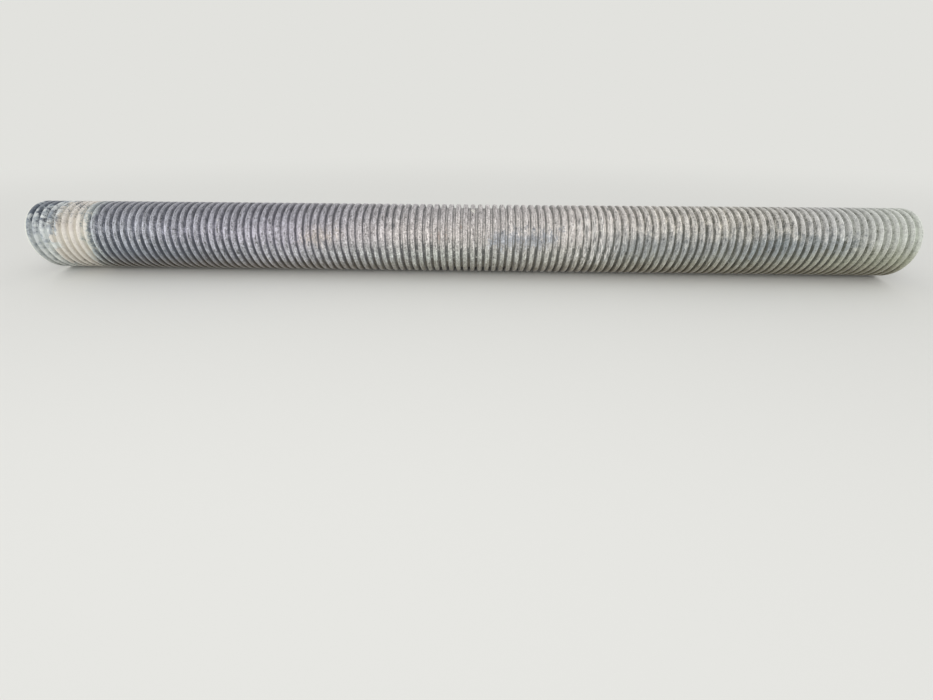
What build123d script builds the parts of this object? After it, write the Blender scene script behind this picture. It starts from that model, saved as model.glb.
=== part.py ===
"""Twin-wall corrugated plastic culvert pipe, one stock length lying along X.

Lengths are in millimetres. The origin is on the pipe's axis, half way along it, and +Z is up.
A smooth liner carries the water. A thinner wall is blown out round it into hollow rings, and
the two are welded while hot in every valley between the rings, so the pipe is one moulded
piece. It is sawn to length in a valley, next to a full ring, and both ends are plain.
"""

import os
from math import cos, pi, radians, sin, tan

from build123d import *

# Walls
bore_diameter = 400.0
liner_wall = 2.4
wave_wall = 2.2
weld_squeeze = 0.2  # what the two walls lose where they are pressed into one

# Rings
ring_count = 119
pitch = 50.5
ring_height = 26.0  # from the valley up to the crest
ring_foot = 34.0  # width of a ring where it rises from the valley
flank_lean = 6.0  # degrees off square, so that the mould blocks let go
shoulder_radius = 8.0
shoulder_flats = 2  # each round shoulder is turned as this many short cones

# Worked out from the above
pipe_length = pitch * ring_count
bore_radius = bore_diameter / 2
weld_wall = liner_wall + wave_wall - weld_squeeze
valley_radius = bore_radius + weld_wall
lean = radians(flank_lean)

# The hollow in a ring stands on the liner, and its flanks and shoulders follow the ring's
hollow_drop = weld_wall - liner_wall
hollow_height = hollow_drop + ring_height - wave_wall
hollow_foot = ring_foot + 2 * hollow_drop * tan(lean) - 2 * wave_wall / cos(lean)
hollow_radius = shoulder_radius - wave_wall


def ring_outline(foot, height, corner_radius):
    """A ring's section above its foot: leaning flanks, round shoulders and a level land."""
    turn = pi / 2 - lean
    centre_x = foot / 2 - height * tan(lean) - corner_radius * tan(turn / 2)
    centre_y = height - corner_radius
    right_side = [(foot / 2, 0)]
    for step in range(shoulder_flats + 1):
        angle = lean + turn * step / shoulder_flats
        x = centre_x + corner_radius * cos(angle)
        y = centre_y + corner_radius * sin(angle)
        right_side.append((x, y))
    left_side = [(-x, y) for x, y in reversed(right_side)]
    with BuildSketch() as outline:
        with BuildLine():
            Polyline(*right_side, *left_side, close=True)
        make_face()
    return outline.sketch


# One moulded wall, turned about its axis from the section of all its rings
with BuildPart() as culvert_pipe:
    with BuildSketch(Plane.XZ):
        with Locations((0, bore_radius)):
            Rectangle(pipe_length, weld_wall, align=(Align.CENTER, Align.MIN))
        with Locations((0, valley_radius)):
            with GridLocations(pitch, 0, ring_count, 1):
                add(ring_outline(ring_foot, ring_height, shoulder_radius))
        with Locations((0, bore_radius + liner_wall)):
            with GridLocations(pitch, 0, ring_count, 1):
                add(ring_outline(hollow_foot, hollow_height, hollow_radius), mode=Mode.SUBTRACT)
    revolve(axis=Axis.X)

os.makedirs("parts", exist_ok=True)
culvert_pipe.part.label = "culvert_pipe"
export_step(culvert_pipe.part, "parts/culvert_pipe.step")
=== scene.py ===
"""The looks of a corrugated plastic culvert pipe that lies on the ground, greyed by cement dust.

Lengths are in metres. The pipe lies along X with its left end at low X, and its front faces -Y.
"""

from math import cos, pi, radians, sin, tan
from random import Random

import bpy
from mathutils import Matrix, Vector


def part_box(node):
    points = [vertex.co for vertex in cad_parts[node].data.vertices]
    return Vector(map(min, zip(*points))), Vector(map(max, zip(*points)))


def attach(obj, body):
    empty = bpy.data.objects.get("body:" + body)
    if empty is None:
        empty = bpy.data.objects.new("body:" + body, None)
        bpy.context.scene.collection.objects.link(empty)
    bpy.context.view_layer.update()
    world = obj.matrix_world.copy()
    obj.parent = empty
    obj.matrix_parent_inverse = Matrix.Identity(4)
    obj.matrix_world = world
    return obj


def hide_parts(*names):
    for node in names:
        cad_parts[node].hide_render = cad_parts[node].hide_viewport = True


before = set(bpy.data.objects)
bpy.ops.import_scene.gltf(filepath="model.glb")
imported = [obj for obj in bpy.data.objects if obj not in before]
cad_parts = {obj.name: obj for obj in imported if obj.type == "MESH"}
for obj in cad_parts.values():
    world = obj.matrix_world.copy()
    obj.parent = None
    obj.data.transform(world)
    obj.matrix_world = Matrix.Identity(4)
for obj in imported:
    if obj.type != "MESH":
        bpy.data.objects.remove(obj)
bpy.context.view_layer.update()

# The camera
# It stands in front of the pipe, close to its middle, and looks down on it through a wide lens.
bpy.ops.object.camera_add(
    location=(0.0714, -2.8146, 1.1426),
    rotation=(radians(52.5), radians(-0.06), radians(1.364)),
)
camera = bpy.context.object
camera.name = "camera"
camera.data.sensor_width = 36.0
camera.data.lens = 15.66
bpy.context.scene.camera = camera
bpy.context.scene.view_settings.view_transform = "Standard"

# The pipe's wall
# One moulded piece of black polyethylene. The outer wall is blown out into hollow rings and welded
# in every valley to a smooth liner. Both ends are sawn square in a valley, and nothing is fixed on.
ring_count = 119
pipe_low, pipe_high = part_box("culvert_pipe")
left_end, right_end = pipe_low.x, pipe_high.x
pitch = (right_end - left_end) / ring_count
crest_radius = (pipe_high.z - pipe_low.z) / 2
ring_height = 0.026
ring_foot = 0.034
flank_lean = radians(6)
shoulder_radius = 0.008
shoulder_flats = 2  # each round shoulder is this many short cones
valley_radius = crest_radius - ring_height
valley_width = pitch - ring_foot
liner_radius = 0.2022
bore_radius = 0.200
facets_round = 96


def select_places(piece, is_wanted):
    """Go to edit mode with only the vertices at the wanted places selected."""
    bpy.ops.object.mode_set(mode="EDIT")
    bpy.ops.mesh.select_mode(type="VERT")
    bpy.ops.mesh.select_all(action="DESELECT")
    bpy.ops.object.mode_set(mode="OBJECT")
    for vertex in piece.data.vertices:
        vertex.select = is_wanted(vertex.co)
    bpy.ops.object.mode_set(mode="EDIT")


def draw_out(step, radius_before, radius_after):
    """Extrude the selected rim by a step along the pipe and open or close it to a new radius."""
    grow = radius_after / radius_before
    bpy.ops.mesh.extrude_edges_move(TRANSFORM_OT_translate={"value": (step, 0, 0)})
    bpy.ops.transform.resize(value=(1, grow, grow), center_override=(0, 0, 0))


# One ring and the valley on its right, as points out from the ring's middle
turn = pi / 2 - flank_lean
shoulder_out = ring_foot / 2 - ring_height * tan(flank_lean) - shoulder_radius * tan(turn / 2)
right_half = [(ring_foot / 2, valley_radius)]
for step in range(shoulder_flats + 1):
    lean = flank_lean + turn * step / shoulder_flats
    right_half.append((
        shoulder_out + shoulder_radius * cos(lean),
        crest_radius - shoulder_radius + shoulder_radius * sin(lean),
    ))
ring_profile = [(-out, radius) for out, radius in right_half]
ring_profile += [(out, radius) for out, radius in reversed(right_half)]
ring_profile.append((ring_foot / 2 + valley_width, valley_radius))

bpy.ops.object.select_all(action="DESELECT")
bpy.ops.mesh.primitive_circle_add(
    vertices=facets_round,
    radius=valley_radius,
    fill_type="NOTHING",
    location=(left_end + valley_width / 2, 0, 0),
    rotation=(0, pi / 2, 0),
)
wall = bpy.context.object
wall.name = "corrugated_wall"
bpy.ops.object.transform_apply(location=True, rotation=True, scale=True)
bpy.ops.object.mode_set(mode="EDIT")
for before, after in zip(ring_profile, ring_profile[1:]):
    draw_out(after[0] - before[0], before[1], after[1])
bpy.ops.object.mode_set(mode="OBJECT")

# All the rings stand in a row, each one joined to the next
bpy.ops.object.modifier_add(type="ARRAY")
array = wall.modifiers[-1]
array.count = ring_count
array.use_relative_offset = False
array.use_constant_offset = True
array.constant_offset_displace = (pitch, 0, 0)
array.use_merge_vertices = True
array.merge_threshold = 0.0005
bpy.ops.object.modifier_apply(modifier=array.name)

# The saw cuts the first and the last valley half way
hair = 0.0002
select_places(wall, lambda place: place.x < left_end + valley_width / 2 + hair)
draw_out(-valley_width / 2, valley_radius, valley_radius)
bpy.ops.object.mode_set(mode="OBJECT")
select_places(wall, lambda place: place.x > right_end - hair)
bpy.ops.transform.translate(value=(-valley_width / 2, 0, 0))
bpy.ops.object.mode_set(mode="OBJECT")

# The cut face shows a fine seam where the two walls are welded, and its inner edge is scraped
seam_depth = 0.0002
seam_width = 0.0003
scrape = 0.0007
for end, inward in ((left_end, 1), (right_end, -1)):
    select_places(wall, lambda place: abs(place.x - end) < hair)
    draw_out(0, valley_radius, liner_radius)
    draw_out(inward * seam_depth, liner_radius, liner_radius - seam_width)
    draw_out(-inward * seam_depth, liner_radius - seam_width, bore_radius + scrape)
    draw_out(inward * scrape, bore_radius + scrape, bore_radius)
    bpy.ops.object.mode_set(mode="OBJECT")

# The smooth bore runs between the two scraped edges
select_places(wall, lambda place: place.yz.length < bore_radius + hair)
bpy.ops.mesh.bridge_edge_loops(number_cuts=59)
bpy.ops.mesh.select_all(action="SELECT")
bpy.ops.mesh.remove_doubles(threshold=0.00002)
bpy.ops.mesh.normals_make_consistent(inside=False)
bpy.ops.object.mode_set(mode="OBJECT")
bpy.ops.object.shade_smooth_by_angle(angle=radians(50))


def add_node(tree, kind, values=(), **settings):
    """Add a node. Values are keyed by their sockets, as numbers or as other nodes' outputs."""
    node = tree.nodes.new(kind)
    for name, setting in settings.items():
        setattr(node, name, setting)
    for socket, value in dict(values).items():
        if isinstance(value, bpy.types.NodeSocket):
            tree.links.new(value, node.inputs[socket])
        else:
            node.inputs[socket].default_value = value
    return node


def sums(tree, operation, first, second=0.0):
    """The outcome of one sum with two numbers."""
    return add_node(tree, "ShaderNodeMath", {0: first, 1: second}, operation=operation).outputs[0]


def fade(tree, value, low, high, at_low=0.0, at_high=1.0):
    """A soft step from at_low to at_high while the value goes from low to high."""
    values = {0: value, 1: low, 2: high, 3: at_low, 4: at_high}
    return add_node(tree, "ShaderNodeMapRange", values, interpolation_type="SMOOTHSTEP").outputs[0]


def cloud(tree, place, scale, detail=3.0, rough=0.55):
    """Soft irregular patches from 0 to 1, scale of them to the metre."""
    values = {"Vector": place, "Scale": scale, "Detail": detail, "Roughness": rough}
    return add_node(tree, "ShaderNodeTexNoise", values).outputs["Fac"]


def stretch(tree, place, *packed):
    """The place with its pattern packed along the three axes."""
    return add_node(tree, "ShaderNodeMapping", {"Vector": place, "Scale": packed}).outputs[0]


def coat(tree, cover, under, over):
    """One colour laid over another where the cover is 1."""
    return add_node(tree, "ShaderNodeMix", {0: cover, 6: under, 7: over}, data_type="RGBA").outputs[2]


def tint(red, green, blue):
    """A colour as the eye names it, 0 to 255, turned into the light it gives back."""
    light = [((part / 255 + 0.055) / 1.055) ** 2.4 for part in (red, green, blue)]
    return (*light, 1.0)


def new_effect(name, takes, gives):
    """An empty effect for several finishes, with what it takes in and gives out."""
    effect = bpy.data.node_groups.new(name, "ShaderNodeTree")
    for socket, kind in takes.items():
        effect.interface.new_socket(name=socket, in_out="INPUT", socket_type=kind)
    for socket, kind in gives.items():
        effect.interface.new_socket(name=socket, in_out="OUTPUT", socket_type=kind)
    return effect, effect.nodes.new("NodeGroupInput").outputs, effect.nodes.new("NodeGroupOutput").inputs


def use_effect(tree, effect, **values):
    """Place an effect in a finish and hand back what it gives out."""
    node = tree.nodes.new("ShaderNodeGroup")
    node.node_tree = effect
    for socket, value in values.items():
        if isinstance(value, bpy.types.NodeSocket):
            tree.links.new(value, node.inputs[socket])
        else:
            node.inputs[socket].default_value = value
    return node.outputs


def new_finish(name):
    """A new material with its nodes, its surface node and the place on the piece."""
    finish = bpy.data.materials.new(name)
    finish.use_nodes = True
    tree = finish.node_tree
    place = add_node(tree, "ShaderNodeTexCoord").outputs["Object"]
    return finish, tree, tree.nodes["Principled BSDF"], place


def dress(tree, surface, skin, roughness, relief, relief_height=0.001):
    """Give a surface its colour, its roughness and its fine relief."""
    tree.links.new(skin, surface.inputs["Base Color"])
    tree.links.new(roughness, surface.inputs["Roughness"])
    values = {"Height": relief, "Distance": relief_height, "Strength": 1.0}
    bump = add_node(tree, "ShaderNodeBump", values)
    tree.links.new(bump.outputs[0], surface.inputs["Normal"])


# The kinds of value that an effect takes in and gives out
number, colour, vector = "NodeSocketFloat", "NodeSocketColor", "NodeSocketVector"

# Effect: where on the pipe a place is
# Height and Front go from -1 to 1 round the axis, and Depth from 0 on a crest to 1 in a valley.
# Ring counts from the left end. Side goes from -0.5 to 0.5 across a ring, from the middle of one
# valley to the next, and Across is the same without its sign.
where_on_pipe, takes, gives = new_effect(
    "where_on_pipe",
    {"Place": vector},
    dict.fromkeys(("Along", "Height", "Front", "Depth", "Ring", "Across", "Side"), number),
)
parts = add_node(where_on_pipe, "ShaderNodeSeparateXYZ", {0: takes["Place"]}).outputs
across_only = {0: takes["Place"], 1: (0, 1, 1)}
off_axis = add_node(where_on_pipe, "ShaderNodeVectorMath", across_only, operation="MULTIPLY").outputs[0]
reach = add_node(where_on_pipe, "ShaderNodeVectorMath", {0: off_axis}, operation="LENGTH")
reach = reach.outputs["Value"]
front = sums(where_on_pipe, "MULTIPLY", sums(where_on_pipe, "DIVIDE", parts[1], reach), -1.0)
drop = sums(where_on_pipe, "SUBTRACT", crest_radius, reach)
ring_place = sums(where_on_pipe, "DIVIDE", sums(where_on_pipe, "SUBTRACT", parts[0], left_end), pitch)
off_middle = sums(where_on_pipe, "SUBTRACT", sums(where_on_pipe, "FRACT", ring_place), 0.5)
for socket, value in (
    ("Along", parts[0]),
    ("Height", sums(where_on_pipe, "DIVIDE", parts[2], reach)),
    ("Front", front),
    ("Depth", sums(where_on_pipe, "DIVIDE", drop, ring_height)),
    ("Ring", sums(where_on_pipe, "FLOOR", ring_place)),
    ("Across", sums(where_on_pipe, "ABSOLUTE", off_middle)),
    ("Side", off_middle),
):
    where_on_pipe.links.new(value, gives[socket])

# Effect: black polyethylene, chalked by the sun, with the fine orange peel that the mould leaves
moulded_plastic, takes, gives = new_effect(
    "moulded_plastic",
    {"Place": vector, "Chalk": number},
    {"Colour": colour, "Roughness": number, "Height": number},
)
blotches = cloud(moulded_plastic, takes["Place"], 9, 4)
peel = cloud(moulded_plastic, takes["Place"], 420, 2)
chalk = sums(moulded_plastic, "MULTIPLY", fade(moulded_plastic, blotches, 0.35, 0.75), takes["Chalk"])
chalked = coat(moulded_plastic, chalk, tint(46, 49, 52), tint(98, 101, 104))
moulded_plastic.links.new(chalked, gives["Colour"])
moulded_plastic.links.new(fade(moulded_plastic, chalk, 0.0, 1.0, 0.42, 0.68), gives["Roughness"])
moulded_plastic.links.new(sums(moulded_plastic, "MULTIPLY", peel, 0.06), gives["Height"])

# Effect: a film of dust with specks missing. Cover is the share of the plastic that it hides
dust_film, takes, gives = new_effect(
    "dust_film",
    {"Place": vector, "Cover": number},
    {"Mask": number, "Height": number},
)
grit = cloud(dust_film, takes["Place"], 95, 5, 0.7)
drifts = cloud(dust_film, takes["Place"], 22, 4, 0.6)
fine_hold = sums(dust_film, "MULTIPLY", grit, 0.6)
hold = sums(dust_film, "ADD", fine_hold, sums(dust_film, "MULTIPLY", drifts, 0.4))
bare_below = sums(dust_film, "SUBTRACT", 0.62, sums(dust_film, "MULTIPLY", takes["Cover"], 0.42))
mask = fade(dust_film, hold, bare_below, sums(dust_film, "ADD", bare_below, 0.14))
grains = sums(dust_film, "MULTIPLY", grit, 0.7)
dust_film.links.new(mask, gives["Mask"])
dust_film.links.new(sums(dust_film, "MULTIPLY", mask, grains), gives["Height"])

# Finish: the outside, dusted and splashed with cement
outside, tree, surface, place = new_finish("outside_dusted_plastic")
spot = use_effect(tree, where_on_pipe, Place=place)
along, height, depth = spot["Along"], spot["Height"], spot["Depth"]
from_end = sums(tree, "SUBTRACT", along, left_end)
plastic = use_effect(tree, moulded_plastic, Place=place, Chalk=0.5)


def uneven(place, scale, detail, rough=0.55):
    """Irregular patches that swing about 0, scale of them to the metre."""
    return sums(tree, "SUBTRACT", cloud(tree, place, scale, detail, rough), 0.5)


def product(first, *others):
    """Several values multiplied."""
    whole = first
    for other in others:
        whole = sums(tree, "MULTIPLY", whole, other)
    return whole


def total(*shares):
    """The sum of several values, each with its weight."""
    whole = None
    for value, weight in shares:
        part = product(value, weight)
        whole = part if whole is None else sums(tree, "ADD", whole, part)
    return whole


def blend(share, first, second):
    """A value that goes from the first to the second as the share goes from 0 to 1."""
    return add_node(tree, "ShaderNodeMix", {0: share, 2: first, 3: second}).outputs[0]


# Patches from the broadest to the finest, streaks down the rings, and a chance for each ring
wander = uneven(place, 2.4, 3)
ragged = uneven(place, 16, 5, 0.65)
blots = uneven(place, 60, 3, 0.6)
specks = uneven(place, 130, 4, 0.7)
streaks = uneven(stretch(tree, place, 210, 18, 18), 1.0, 4, 0.65)
ring_dice = add_node(tree, "ShaderNodeTexWhiteNoise", {"W": spot["Ring"]}, noise_dimensions="1D")
ring_chance = ring_dice.outputs["Value"]
ring_luck = sums(tree, "SUBTRACT", ring_chance, 0.5)
wandering_along = sums(tree, "ADD", along, total((wander, 0.5), (ragged, 0.12)))


def along_pipe(stops):
    """Values or tints that change from the left end to the right end, by places in metres."""
    ramp = add_node(tree, "ShaderNodeValToRGB")
    while len(ramp.color_ramp.elements) < len(stops):
        ramp.color_ramp.elements.new(0.5)
    for element, (stop, value) in zip(ramp.color_ramp.elements, stops):
        element.position = (stop - left_end) / (right_end - left_end)
        element.color = value if isinstance(value, tuple) else (value, value, value, 1.0)
    whole_pipe = {0: wandering_along, 1: left_end, 2: right_end}
    share = add_node(tree, "ShaderNodeMapRange", whole_pipe).outputs[0]
    tree.links.new(share, ramp.inputs[0])
    return ramp.outputs[0]


dust_tint = along_pipe((
    (-3.00, tint(190, 198, 202)),
    (-2.80, tint(196, 199, 200)),
    (-2.45, tint(182, 185, 192)),
    (-1.80, tint(179, 178, 187)),
    (-1.10, tint(184, 180, 188)),
    (-0.50, tint(205, 199, 196)),
    (0.80, tint(202, 197, 192)),
    (1.80, tint(201, 198, 190)),
    (2.40, tint(197, 197, 194)),
    (3.00, tint(206, 210, 201)),
))

# The dust is greyer along the top, most at the left
on_top = fade(tree, total((height, 1.0), (ragged, 0.8), (blots, 0.4)), 0.50, 0.98)
top_greying = along_pipe(((-3.0, 0.80), (-2.5, 0.80), (-1.0, 0.60), (0.2, 0.22), (1.2, 0.0)))
dust_tint = coat(tree, product(on_top, top_greying), dust_tint, tint(142, 143, 151))

# The side that faces the ground is duller, bluish near the left end and olive near the right end:
# partly dust, and partly painted shade from the ground with a painted olive light thrown up from grass
low_side = fade(tree, total((height, 1.0), (ragged, 0.3)), 0.50, -0.25)
low_side_dust_and_painted_shade = along_pipe((
    (-3.0, tint(196, 204, 192)),
    (-2.4, tint(136, 142, 150)),
    (-1.9, tint(150, 154, 160)),
    (-1.2, tint(186, 186, 190)),
    (-0.2, tint(188, 193, 186)),
    (0.6, tint(190, 190, 182)),
    (1.2, tint(174, 174, 160)),
    (3.0, tint(166, 168, 146)),
))
dust_tint = coat(tree, product(low_side, 0.85), dust_tint, low_side_dust_and_painted_shade)


def patch(from_place, to_place, from_angle, to_angle, strength, soft=0.22, soft_round=0.4):
    """A ragged patch on the front, between two places along the pipe and two angles down from its top."""
    ragged_along = total((along, 1.0), (ragged, 0.5), (blots, 0.35))
    ragged_height = total((height, 1.0), (ragged, 1.0), (blots, 0.7), (streaks, 0.7))
    upper, lower = cos(radians(from_angle)), cos(radians(to_angle))
    return product(
        fade(tree, ragged_along, from_place, from_place + soft),
        strength,
        fade(tree, ragged_along, to_place, to_place - soft),
        fade(tree, ragged_height, upper, upper - soft_round),
        fade(tree, ragged_height, lower, lower + soft_round),
        fade(tree, spot["Front"], 0.0, 0.2),
    )


# Wet cement dried blue-grey in three places, and earth was flung up in another
dust_tint = coat(tree, patch(0.10, 0.66, 44, 90, 0.62, 0.12), dust_tint, tint(136, 149, 164))
dust_tint = coat(tree, patch(0.66, 2.40, 28, 125, 0.85, 0.4, 0.8), dust_tint, tint(146, 151, 152))
dust_tint = coat(tree, patch(1.86, 2.66, 46, 100, 0.60, 0.14), dust_tint, tint(142, 152, 156))
dust_tint = coat(tree, patch(-1.14, -0.84, 44, 88, 0.60, 0.10), dust_tint, tint(206, 193, 178))

# How far round the pipe the grooves are dusty changes along it, from nearly all round at the left end
groove_dust_ends = along_pipe((
    (-3.0, 0.0), (-1.6, 0.1), (-1.0, 0.45), (-0.3, 0.88), (0.6, 0.92),
    (1.2, 0.74), (1.8, 0.52), (2.5, 0.50), (2.95, 0.80),
))
dust_line = total((height, 1.0), (wander, 0.5), (ragged, 0.5), (blots, 0.5), (ring_luck, 0.16))
looks_up = fade(tree, sums(tree, "SUBTRACT", dust_line, groove_dust_ends), -1.05, -0.57)

# The floor of a groove begins at the feet of its two rings
foot_line = along_pipe((
    (-3.0, 0.340), (-1.3, 0.345), (-0.6, 0.370), (0.5, 0.370), (1.4, 0.345), (3.0, 0.340),
))
groove_floor = fade(tree, spot["Across"], foot_line, sums(tree, "ADD", foot_line, 0.03))
floor_dust = product(groove_floor, looks_up)

# The dust is mottled, no two rings took the same, and it ran down them in streaks. The floors of the
# grooves hold dust and are painted paler, a painted light against the shade in them, and the middle of
# each crest is a little darker
mottle = along_pipe((
    (-3.0, 0.9), (-2.4, 0.6), (-1.4, 0.85), (-0.3, 0.65), (1.6, 0.50), (2.2, 0.36), (3.0, 0.30),
))
streaky = along_pipe(((-3.0, 3.1), (0.6, 3.2), (1.2, 3.4), (1.8, 2.9), (2.3, 1.8), (2.9, 1.0)))
floor_painted_light = along_pipe((
    (-3.0, 0.85), (-1.2, 0.50), (-0.5, 0.08), (0.2, 0.34), (1.0, 0.58), (2.3, 0.80), (3.0, 0.60),
))
crest_middle = fade(tree, spot["Across"], 0.09, 0.04)
dust_tone_and_painted_light = total(
    (product(total((blots, 2.4), (specks, 4.4)), mottle), 1.0),
    (product(streaks, streaky), 1.0),
    (ring_luck, 0.16),
    (ragged, 0.5),
    (floor_dust, floor_painted_light),
    (crest_middle, -0.10),
)
dust_tone_and_painted_light = sums(tree, "ADD", dust_tone_and_painted_light, 0.98)
dust_tint = add_node(tree, "ShaderNodeVectorMath", {0: dust_tint, 3: dust_tone_and_painted_light}, operation="SCALE").outputs[0]

# It is thin along the top of the left half, down to bare plastic on the first rings, and low down
# near the left end
top_cover = along_pipe((
    (-3.0, 0.28), (-2.80, 0.34), (-2.60, 0.62), (-0.9, 0.66), (0.0, 0.72), (1.5, 0.88), (3.0, 0.90),
))
side_cover = along_pipe((
    (-3.0, 0.80), (-2.55, 0.76), (-1.6, 0.80), (-0.6, 0.87), (1.6, 0.85), (2.3, 0.91), (3.0, 0.93),
))
low_cover = along_pipe((
    (-3.0, 0.86), (-2.5, 0.50), (-1.8, 0.56), (-1.2, 0.76), (-0.4, 0.92), (1.2, 0.88), (3.0, 0.80),
))
crest_cover = blend(low_side, blend(on_top, side_cover, top_cover), low_cover)

# Painted light and shade: one side of each ring is painted paler and the other darker. Towards the left
# end it is the left side that is paler, towards the right end and along the top the right side, and less
# so on the last rings
left_end_slope = fade(tree, along, -3.0, 0.0, -1.26, 0.0)
right_end_slope = fade(tree, along, -0.6, 1.0)
last_rings_ease = fade(tree, along, 2.5, 2.9)
side_light_slope = total((left_end_slope, 1.0), (right_end_slope, 0.74), (last_rings_ease, -0.14))
side_light_slope = sums(tree, "ADD", side_light_slope, fade(tree, height, 0.60, 0.95, 0.0, 0.35))
painted_side_light = product(spot["Side"], side_light_slope)

# It lies full on the crests and the floors of the grooves and clings less to the flanks, least of
# all below the pipe's middle
flank_top = along_pipe((
    (-3.0, 0.72), (-2.0, 0.66), (-1.0, 0.44), (0.3, 0.47), (2.2, 0.58), (2.6, 0.66), (2.95, 0.80),
))
flank_low = along_pipe(((-3.0, 0.36), (2.5, 0.36), (2.95, 0.75)))
flank_share = blend(fade(tree, total((height, 1.0), (ragged, 0.5)), 0.1, 0.6), flank_low, flank_top)
# On the side painted paler the dust film also reaches further down the flank, part of the same painted
# light
painted_lit_side = sums(tree, "MAXIMUM", painted_side_light, 0.0)
ragged_depth = total((depth, 1.0), (ragged, 0.2), (blots, 0.2), (painted_lit_side, -2.2))
ring_cover = blend(fade(tree, ragged_depth, 0.02, 0.30), 1.0, flank_share)
floor_share = along_pipe(((-3.0, 1.0), (-1.3, 0.95), (-0.5, 0.76), (0.3, 1.0), (1.2, 1.0), (3.0, 1.0)))
floor_cover = product(floor_dust, floor_share)
cover = product(crest_cover, sums(tree, "MAXIMUM", ring_cover, floor_cover))
film = use_effect(tree, dust_film, Place=place, Cover=cover)

# A haze of the finest dust greys the plastic where the film is missing
haze_share = fade(tree, cloud(tree, place, 7, 3), 0.3, 0.7, 0.46, 0.78)
haze_tint = along_pipe((
    (-3.0, tint(118, 130, 146)),
    (-2.6, tint(128, 134, 146)),
    (-1.2, tint(144, 142, 152)),
    (0.0, tint(140, 141, 136)),
    (3.0, tint(138, 139, 124)),
))
haze = coat(tree, haze_share, plastic["Colour"], haze_tint)
skin = coat(tree, film["Mask"], haze, dust_tint)

# The first four rings were splashed with thin slurry, which missed the tops of the first three and
# left gaps
near_end = fade(tree, total((from_end, 1.0), (ragged, 0.16)), 0.31, 0.23)
from_third_ring = fade(tree, from_end, 0.09, 0.12)
from_fourth_ring = fade(tree, from_end, 0.145, 0.165)
splash_line = total(
    (height, 1.0),
    (ragged, 2.4),
    (blots, 1.2),
    (depth, 0.25),
    (from_third_ring, 0.08),
    (from_fourth_ring, -0.44),
)
below_top = fade(tree, splash_line, 1.12, 0.82, 0.22, 1.0)
gaps = uneven(place, 24, 3)
gap_line = total((gaps, 1.0), (blots, 0.25), (height, -0.10))
slurry_cover = product(
    near_end,
    below_top,
    0.94,
    fade(tree, height, -0.9, -0.3, 0.75, 1.0),
    fade(tree, gap_line, -0.12, 0.02, 0.62, 1.0),
)
slurry = use_effect(tree, dust_film, Place=place, Cover=slurry_cover)

# It dried pale, and is thinnest and darkest on the first ring. It is palest in the grooves, where it
# lies thicker and is also painted paler as painted light against the shade there
slurry_shade = total((blots, 0.5), (gaps, 1.2), (specks, 0.35))
slurry_tint = coat(tree, fade(tree, slurry_shade, -0.26, 0.14), tint(142, 152, 162), tint(222, 226, 224))
groove_fill_and_painted_light = product(fade(tree, depth, 0.1, 0.6, 0.0, 0.60), fade(tree, height, -0.25, 0.30))
slurry_tint = coat(tree, groove_fill_and_painted_light, slurry_tint, tint(232, 236, 236))
# Low on the pipe the slurry is painted lighter, a painted light
slurry_tint = coat(tree, product(low_side, 0.35), slurry_tint, tint(232, 234, 222))
thinner = fade(tree, from_end, 0.06, 0.12, 0.30, 0.0)
slurry_tint = coat(tree, thinner, slurry_tint, tint(132, 140, 146))
skin = coat(tree, slurry["Mask"], skin, slurry_tint)

# The outer side of the first ring is pale, up to the edge of its crest: dust, painted paler still as a
# painted highlight where light catches the end ring
first_edge_dust_and_highlight = fade(tree, total((from_end, 1.0), (ragged, 0.004)), 0.027, 0.0215)
skin = coat(tree, product(first_edge_dust_and_highlight, 0.9), skin, tint(232, 233, 223))

# Cement lies thick on rings 5 to 8, with less of it on the ring before and the ring after
cement_edge = total((from_end, 1.0), (ragged, 0.22), (ring_luck, 0.03), (height, -0.03))
cement_cover = product(
    fade(tree, cement_edge, 0.155, 0.225),
    fade(tree, cement_edge, 0.47, 0.37),
    fade(tree, on_top, 0.0, 1.0, 1.1, 0.54),
    fade(tree, total((height, 1.0), (ragged, 0.6)), -0.75, 0.0, 0.55, 1.0),
)
cement = use_effect(tree, dust_film, Place=place, Cover=cement_cover)
cement_shade = total((specks, 0.8), (blots, 0.6), (ring_luck, 0.15))
cement_tint = coat(tree, fade(tree, cement_shade, -0.16, 0.14), tint(214, 209, 200), tint(240, 236, 225))
cement_tint = coat(tree, product(ring_chance, 0.30), cement_tint, tint(214, 203, 196))
# The cement too is palest in the grooves, thick there and also painted paler as painted light against
# their shade
cement_tint = coat(tree, groove_fill_and_painted_light, cement_tint, tint(244, 241, 231))
# Low on the pipe the cement is painted darker, a painted shade
cement_tint = coat(tree, product(low_side, 0.35), cement_tint, tint(190, 184, 170))

# It ends in a thin greenish wash
last_cement = fade(tree, cement_edge, 0.38, 0.44, 0.0, 0.7)
cement_tint = coat(tree, last_cement, cement_tint, tint(198, 205, 198))
washed_on = product(
    fade(tree, cement_edge, 0.34, 0.40, 0.0, 0.75),
    fade(tree, cement_edge, 0.475, 0.435),
    fade(tree, depth, 0.9, 0.4),
)
skin = coat(tree, washed_on, skin, tint(184, 192, 191))
skin = coat(tree, cement["Mask"], skin, cement_tint)

# Dirt is speckled over the upper front of the cement, with a brown stain round and below it
speckle_edge = total((from_end, 1.0), (ragged, 0.12))
speckled = product(
    spot["Front"],
    fade(tree, speckle_edge, 0.135, 0.155),
    fade(tree, speckle_edge, 0.40, 0.22),
    fade(tree, total((height, 1.0), (ragged, 0.5)), 0.48, 0.74),
    fade(tree, total((specks, 1.0), (blots, 0.6)), 0.016, 0.034),
)
skin = coat(tree, speckled, skin, tint(48, 47, 52))
stained = patch(left_end + 0.20, left_end + 0.42, 34, 66, 0.35, 0.08, 0.3)
skin = coat(tree, stained, skin, tint(178, 160, 154))

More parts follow.
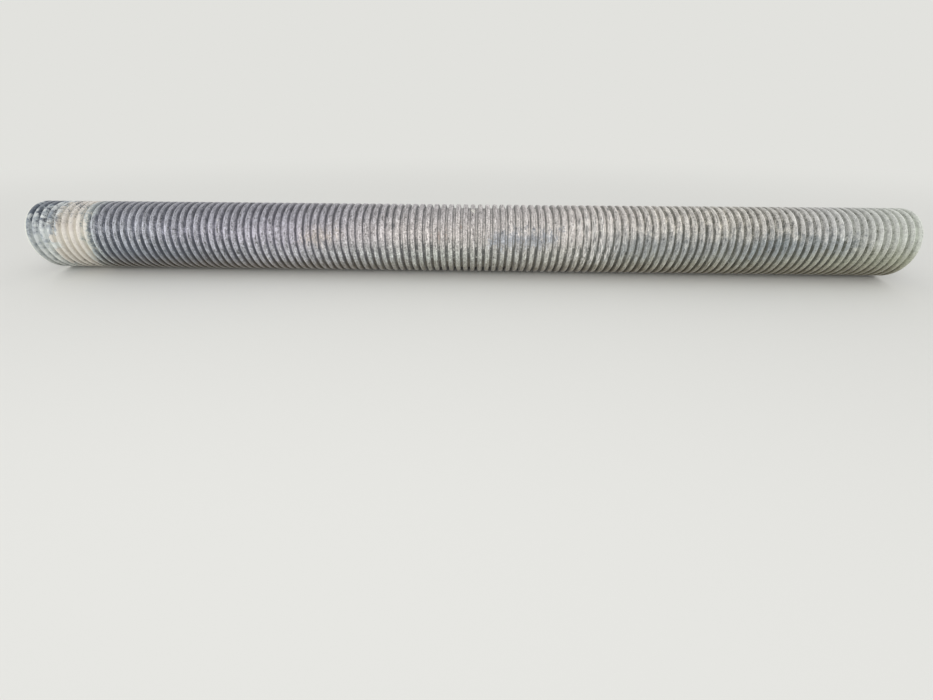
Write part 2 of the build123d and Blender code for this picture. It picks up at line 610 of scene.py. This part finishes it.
# Slurry ran down a few rings in white streaks, with dark ones between them
runs = use_effect(tree, dust_film, Place=place, Cover=patch(0.70, 1.02, 16, 112, 1.0, 0.10, 0.2))
on_ring = product(runs["Mask"], fade(tree, depth, 0.6, 0.3))
skin = coat(tree, product(on_ring, fade(tree, streaks, 0.0, -0.08)), skin, tint(118, 118, 116))
skin = coat(tree, product(on_ring, fade(tree, streaks, 0.0, 0.05)), skin, tint(236, 233, 228))

# One groove near the middle holds an orange stain
orange = product(patch(-0.17, -0.10, 36, 84, 0.45, 0.03), fade(tree, depth, 0.4, 0.8))
skin = coat(tree, orange, skin, tint(186, 146, 120))

# Dark dirt is specked along the top, except near the left end and towards the right end
gritty = along_pipe(((-3.0, 0.0), (-2.3, 0.9), (-1.0, 0.9), (0.9, 0.6), (1.3, 0.0)))
grit_dots = fade(tree, total((blots, 1.0), (specks, 0.9)), 0.11, 0.16)
skin = coat(tree, product(fade(tree, height, 0.80, 0.95), grit_dots, gritty), skin, tint(92, 88, 94))

# Earth browns the strip that lies on the ground, and the same dark brown is also painted shade from the
# ground
splashed = sums(tree, "MAXIMUM", slurry["Mask"], cement["Mask"])
earth_and_painted_shade = product(
    fade(tree, total((height, 1.0), (ragged, 0.5), (blots, 0.3)), -0.12, -0.85),
    fade(tree, splashed, 0.0, 1.0, 0.75, 0.25),
)
skin = coat(tree, earth_and_painted_shade, skin, tint(104, 92, 68))

# Painted light and shade: the colour is scaled paler on one side of each ring and darker on the other,
# less so in the grooves and on the splashes
painted_side_share = product(
    fade(tree, depth, 0.3, 0.7, 1.0, 0.15),
    fade(tree, splashed, 0.0, 1.0, 1.0, 0.35),
)
painted_side_scale = sums(tree, "ADD", product(painted_side_light, painted_side_share), 1.0)
skin = add_node(tree, "ShaderNodeVectorMath", {0: skin, 3: painted_side_scale}, operation="SCALE").outputs[0]

surface.inputs["Sheen Weight"].default_value = 0.45
surface.inputs["Sheen Roughness"].default_value = 0.35
relief = sums(tree, "ADD", plastic["Height"], film["Height"])
relief = sums(tree, "ADD", relief, sums(tree, "MULTIPLY", cement["Mask"], 0.9))
dress(tree, surface, skin, fade(tree, film["Mask"], 0.0, 1.0, 0.52, 0.92), relief)

# Finish: the bore, clean black with faint waves over the rings and dust along its bottom
bore, tree, surface, place = new_finish("bore_black_liner")
spot = use_effect(tree, where_on_pipe, Place=place)
plastic = use_effect(tree, moulded_plastic, Place=place, Chalk=0.3)
settles = fade(tree, spot["Height"], -0.55, -0.98, 0.12, 0.75)
film = use_effect(tree, dust_film, Place=place, Cover=settles)
skin = coat(tree, film["Mask"], plastic["Colour"], tint(150, 147, 140))
wave_place = sums(tree, "MULTIPLY", sums(tree, "SUBTRACT", spot["Along"], left_end), 2 * pi / pitch)
waves = sums(tree, "MULTIPLY", sums(tree, "COSINE", wave_place), 0.35)
relief = sums(tree, "ADD", sums(tree, "ADD", plastic["Height"], film["Height"]), waves)
dress(tree, surface, skin, fade(tree, film["Mask"], 0.0, 1.0, 0.38, 0.9), relief)

# Finish: the sawn faces, torn grey by the saw's teeth
sawn, tree, surface, place = new_finish("sawn_plastic_edge")
plastic = use_effect(tree, moulded_plastic, Place=place, Chalk=0.8)
tooth_marks = cloud(tree, stretch(tree, place, 60, 30, 700), 1.0, 3)
film = use_effect(tree, dust_film, Place=place, Cover=0.5)
skin = coat(tree, sums(tree, "MULTIPLY", tooth_marks, 0.5), plastic["Colour"], tint(120, 122, 124))
skin = coat(tree, film["Mask"], skin, tint(186, 186, 180))
relief = sums(tree, "ADD", sums(tree, "MULTIPLY", tooth_marks, 0.4), film["Height"])
dress(tree, surface, skin, fade(tree, tooth_marks, 0.2, 0.8, 0.55, 0.85), relief)

# The bore and the cut faces have their own finishes
for finish in (outside, bore, sawn):
    wall.data.materials.append(finish)
for face in wall.data.polygons:
    if face.center.yz.length < bore_radius + hair:
        face.material_index = 1
    elif min(abs(face.center.x - left_end), abs(face.center.x - right_end)) < scrape:
        face.material_index = 2

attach(wall, "root")
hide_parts("culvert_pipe")

# The cement splashes
# Drops of wet mortar that flew onto the pipe and set there as low rough lumps, a few millimetres
# thick. They stick by themselves, most of them on the front, and the thickest lie near the middle.

# Where the larger ones are: metres along the pipe from its middle, degrees from the top towards
# the front, and millimetres across
splash_places = (
    (-2.211, 77, 12), (-1.382, 108, 10), (-0.730, 108, 10), (0.079, 106, 14), (0.131, 74, 12),
    (0.871, 59, 12), (0.900, 54, 14), (0.935, 98, 13), (1.067, 9, 10), (1.225, 17, 13),
    (1.277, 26, 11), (1.469, 19, 12), (2.099, 105, 12),
    (0.041, 16, 14), (0.047, 18, 13), (0.054, 20, 15), (0.060, 21, 12), (0.062, 17, 11), (0.050, 14, 9),
)
luck = Random(11)

# One lump, a squashed ball that is flat underneath and rough all over
bpy.ops.object.select_all(action="DESELECT")
bpy.ops.mesh.primitive_ico_sphere_add(subdivisions=2, radius=0.5, location=(0, 0, 0))
lump = bpy.context.object
lump.name = "cement_lump"
bpy.ops.object.mode_set(mode="EDIT")
bpy.ops.transform.resize(value=(1, 1, 0.6))
bpy.ops.mesh.bisect(plane_co=(0, 0, -0.02), plane_no=(0, 0, 1), use_fill=True, clear_inner=True)
bpy.ops.object.mode_set(mode="OBJECT")
lump_noise = bpy.data.textures.new("lump_noise", "CLOUDS")
lump_noise.noise_scale = 0.3
bpy.ops.object.modifier_add(type="DISPLACE")
lump.modifiers[-1].texture = lump_noise
lump.modifiers[-1].strength = 0.35
bpy.ops.object.modifier_apply(modifier=lump.modifiers[-1].name)
bpy.ops.object.shade_smooth()

# Small drops flew all over, fewer of them on the back
end_margin = 0.1
smallest, largest = 3, 6.5
drops = list(splash_places)
for count, nearest, farthest in ((150, 12, 125), (50, -12, -120)):
    for _ in range(count):
        drops.append((
            luck.uniform(left_end + end_margin, right_end - end_margin),
            luck.uniform(nearest, farthest),
            luck.uniform(smallest, largest),
        ))

# A drop sits on a crest or on a groove's floor, and stays inside the pipe's box
floor_from_middle = 0.42 * pitch
crest_from_middle = 0.008
clearance = 0.0003
lowest_rise = 0.0012
copies = []
for drop_along, angle, width in drops:
    ring = round((drop_along - left_end) / pitch - 0.5)
    ring_middle = left_end + (ring + 0.5) * pitch
    aside = drop_along - ring_middle
    on_floor = abs(aside) > floor_from_middle
    seat_radius = valley_radius if on_floor else crest_radius
    if not on_floor:
        drop_along = ring_middle + max(-crest_from_middle, min(crest_from_middle, aside))
    turned = radians(angle)
    widest = max(abs(sin(turned)), abs(cos(turned)))
    room = crest_radius / widest - seat_radius - clearance
    size = width / 1000
    rise = min(size * 0.9, room)
    if rise < lowest_rise:
        continue
    bpy.ops.object.select_all(action="DESELECT")
    lump.select_set(True)
    bpy.context.view_layer.objects.active = lump
    bpy.ops.object.duplicate(linked=False)
    copy = bpy.context.object
    copy.scale = (size * luck.uniform(0.8, 1.2), size * luck.uniform(0.8, 1.5), rise)
    copy.rotation_euler = (turned, 0, 0)
    copy.location = (drop_along, -seat_radius * sin(turned), seat_radius * cos(turned))
    copies.append(copy)

# The drops are joined into one piece, and the first lump goes
bpy.ops.object.select_all(action="DESELECT")
lump.select_set(True)
bpy.ops.object.delete()
for copy in copies:
    copy.select_set(True)
splashes = copies[0]
bpy.context.view_layer.objects.active = splashes
bpy.ops.object.join()
bpy.ops.object.transform_apply(location=True, rotation=True, scale=True)
splashes.name = "cement_splashes"

# Finish: dry mortar, pale grey with sand in it
mortar, tree, surface, place = new_finish("dry_mortar")
sand = cloud(tree, place, 900, 3, 0.7)
batch = cloud(tree, place, 30, 2)
skin = coat(tree, fade(tree, batch, 0.35, 0.65), tint(204, 203, 197), tint(228, 226, 218))
skin = coat(tree, fade(tree, sand, 0.52, 0.66), skin, tint(168, 164, 154))
dress(tree, surface, skin, fade(tree, sand, 0.3, 0.7, 0.82, 0.95), sand, 0.0006)
splashes.data.materials.append(mortar)

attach(splashes, "root")

# The floor and the light
# A plain pale floor, an even pale surround and one large soft lamp above and in front of the pipe.
floor_tint = tint(226, 226, 222)
bpy.ops.object.select_all(action="DESELECT")
bpy.ops.mesh.primitive_plane_add(size=400, location=(0, 0, pipe_low.z))
floor = bpy.context.object
floor.name = "floor"
floor_finish, tree, surface, place = new_finish("pale_floor")
surface.inputs["Base Color"].default_value = floor_tint
surface.inputs["Roughness"].default_value = 0.9

# Away from the pipe the floor fades into the surround, sooner across the pipe than along it
fade_from, fade_to = 1.4, 3.8
along_share = (0.4, 1.0, 1.0)
squeezed = {0: place, 1: along_share}
place = add_node(tree, "ShaderNodeVectorMath", squeezed, operation="MULTIPLY").outputs[0]
away = add_node(tree, "ShaderNodeVectorMath", {0: place}, operation="LENGTH").outputs["Value"]
seen = add_node(tree, "ShaderNodeLightPath").outputs["Is Camera Ray"]
far_off = sums(tree, "MULTIPLY", fade(tree, away, fade_from, fade_to), seen)
surround = add_node(tree, "ShaderNodeEmission", {0: floor_tint, 1: 1.0})
either = add_node(tree, "ShaderNodeMixShader", {0: far_off, 1: surface.outputs[0], 2: surround.outputs[0]})
tree.links.new(either.outputs[0], tree.nodes["Material Output"].inputs[0])
floor.data.materials.append(floor_finish)

# The surround shows the floor's tint, and its own light is white
world = bpy.data.worlds.new("studio")
bpy.context.scene.world = world
world.use_nodes = True
tree = world.node_tree
tree.nodes.clear()
path = add_node(tree, "ShaderNodeLightPath").outputs
mirrored = sums(tree, "MAXIMUM", path["Is Glossy Ray"], path["Is Transmission Ray"])
seen = sums(tree, "MAXIMUM", path["Is Camera Ray"], mirrored)
lit = add_node(tree, "ShaderNodeBackground", {0: (1.0, 1.0, 1.0, 1.0), 1: 0.85})
shown = add_node(tree, "ShaderNodeBackground", {0: floor_tint, 1: 1.0})
either = add_node(tree, "ShaderNodeMixShader", {0: seen, 1: lit.outputs[0], 2: shown.outputs[0]})
add_node(tree, "ShaderNodeOutputWorld", {0: either.outputs[0]})

# The lamp leans towards the pipe and stands a little to the left of its middle
bpy.ops.object.light_add(type="AREA", location=(-0.6, -4.6, 3.2), rotation=(radians(54), 0, radians(-7)))
lamp = bpy.context.object
lamp.name = "soft_lamp"
lamp.data.shape = "RECTANGLE"
lamp.data.size = 8.0
lamp.data.size_y = 3.0
lamp.data.energy = 80.0
